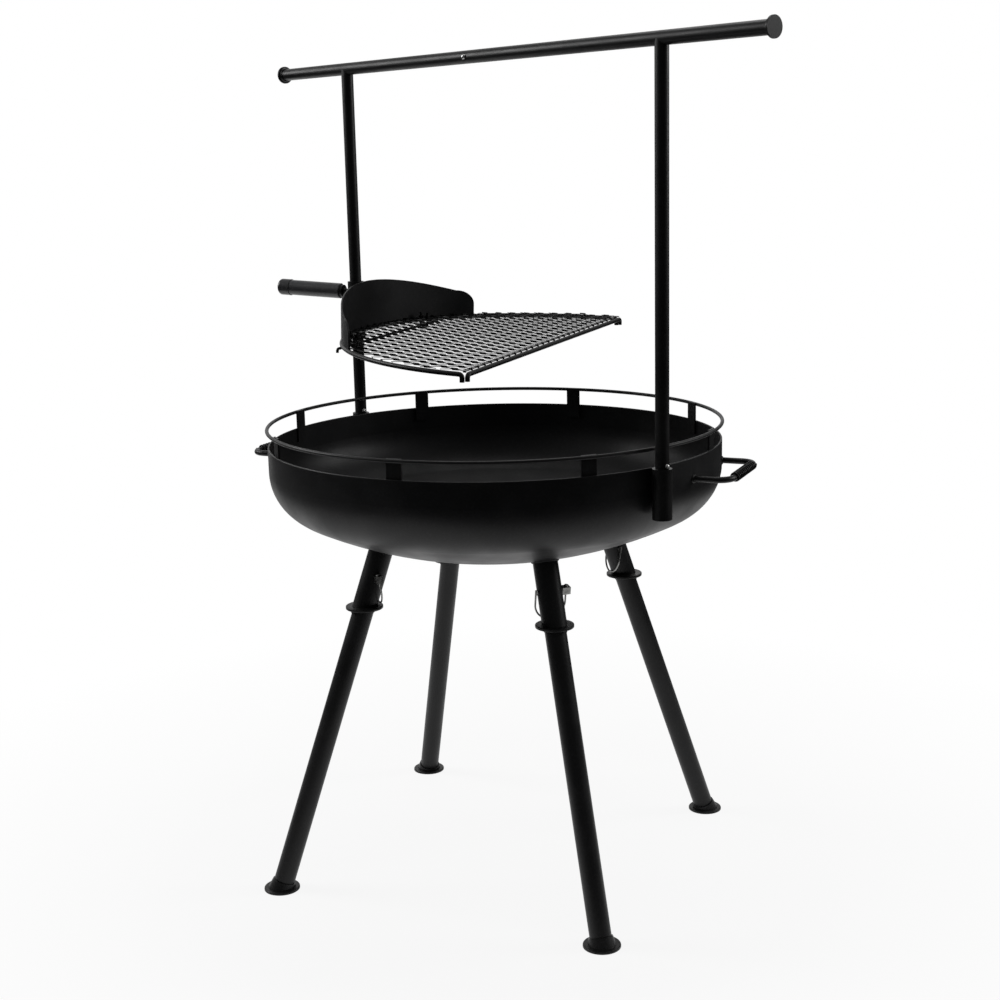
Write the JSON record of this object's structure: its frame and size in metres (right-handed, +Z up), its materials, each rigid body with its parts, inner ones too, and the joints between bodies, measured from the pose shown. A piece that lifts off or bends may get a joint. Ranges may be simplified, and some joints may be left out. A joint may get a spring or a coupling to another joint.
{
  "type": "fire pit grill",
  "caption": "Black steel fire pit bowl on splayed legs, with a crossbar frame over it and a half-moon expanded-metal grate that slides and swings on one post.",
  "frame": {"origin": "on the bowl's axis at floor level, midway between the four feet", "axes": "+Z up; +X along the crossbar, from the grate's post to the bare post; +Y to the side where the grate is swung"},
  "size_m": [1.214, 0.9124, 1.3805],
  "materials": {
    "bowl_coating": "satin black heat-resistant powder coat",
    "frame_coating": "satin black powder coat",
    "grate_coating": "semi-gloss black high-temperature coat",
    "zinc_wire": "bright zinc plating",
    "bright_steel": "bright nickel plating",
    "spring_steel": "blued spring steel",
    "grip_coating": "satin dark grey powder coat",
    "gloss_cap": "gloss black moulded plastic"
  },
  "bodies": {
    "stand": {"bar_end_cap_left": "frame_coating", "bar_end_cap_right": "frame_coating", "bowl_handle_left": "frame_coating", "bowl_handle_right": "frame_coating", "button_spring": "spring_steel", "crossbar_left": "frame_coating", "crossbar_right": "frame_coating", "fire_bowl": "bowl_coating", "guard_ring": "bowl_coating", "handle_coil_left": "frame_coating", "handle_coil_right": "frame_coating", "leg_collar_1": "frame_coating", "leg_collar_2": "frame_coating", "leg_collar_3": "frame_coating", "leg_collar_4": "frame_coating", "leg_foot_1": "frame_coating", "leg_foot_2": "frame_coating", "leg_foot_3": "frame_coating", "leg_foot_4": "frame_coating", "leg_socket_1": "frame_coating", "leg_socket_2": "frame_coating", "leg_socket_3": "frame_coating", "leg_socket_4": "frame_coating", "leg_tube_1": "frame_coating", "leg_tube_2": "frame_coating", "leg_tube_3": "frame_coating", "leg_tube_4": "frame_coating", "lock_pin_1": "zinc_wire", "lock_pin_2": "zinc_wire", "lock_pin_3": "zinc_wire", "lock_pin_4": "zinc_wire", "post_left": "frame_coating", "post_right": "frame_coating", "post_socket_left": "frame_coating", "post_socket_right": "frame_coating", "post_stop_rivets": "bright_steel", "post_stub_left": "frame_coating", "post_stub_right": "frame_coating", "ring_tabs": "bowl_coating"},
    "lift_bush": {"sleeve_bush": "frame_coating"},
    "grill": {"grill_sleeve": "frame_coating", "plate_bracket": "frame_coating", "wind_plate": "frame_coating", "grate_rim_rod": "grate_coating", "grate_front_rod": "grate_coating", "grate_cross_rod": "grate_coating", "grate_mesh": "grate_coating", "mesh_clamps": "grate_coating", "clamp_nuts": "grate_coating", "lift_stud": "frame_coating", "lift_ferrule": "frame_coating", "lift_grip": "grip_coating", "lift_grip_cap": "gloss_cap"},
    "button": {"snap_button": "bright_steel"},
    "bail_1": {"lock_bail_1": "zinc_wire"},
    "bail_2": {"lock_bail_2": "zinc_wire"},
    "bail_3": {"lock_bail_3": "zinc_wire"},
    "bail_4": {"lock_bail_4": "zinc_wire"}
  },
  "joints": [
    {"name": "grill_height", "type": "slide", "parent": "stand", "child": "lift_bush", "axis": [0, 0, 1], "range_m": [-0.06, 0.3]},
    {"name": "grill_swing", "type": "hinge", "parent": "lift_bush", "child": "grill", "pos_m": [-0.39705, 0, 0.8999], "axis": [0, 0, 1], "continuous": true},
    {"name": "button_press", "type": "slide", "parent": "stand", "child": "button", "axis": [0, 1, 0], "range_m": [0, 0.0035], "stiffness_N_per_m": 1200, "springref_m": -0.002, "deforming": ["button_spring"]},
    {"name": "bail_1_open", "type": "hinge", "parent": "stand", "child": "bail_1", "pos_m": [0.22125, -0.04096, 0.5257], "axis": [-0.1622, 0.0517, -0.9854], "range_deg": [0, 120]},
    {"name": "bail_2_open", "type": "hinge", "parent": "stand", "child": "bail_2", "pos_m": [0.04096, 0.22125, 0.5257], "axis": [-0.0517, -0.1622, -0.9854], "range_deg": [0, 120]},
    {"name": "bail_3_open", "type": "hinge", "parent": "stand", "child": "bail_3", "pos_m": [-0.22125, 0.04096, 0.5257], "axis": [0.1622, -0.0517, -0.9854], "range_deg": [0, 120]},
    {"name": "bail_4_open", "type": "hinge", "parent": "stand", "child": "bail_4", "pos_m": [-0.04096, -0.22125, 0.5257], "axis": [0.0517, 0.1622, -0.9854], "range_deg": [0, 120]}
  ]
}
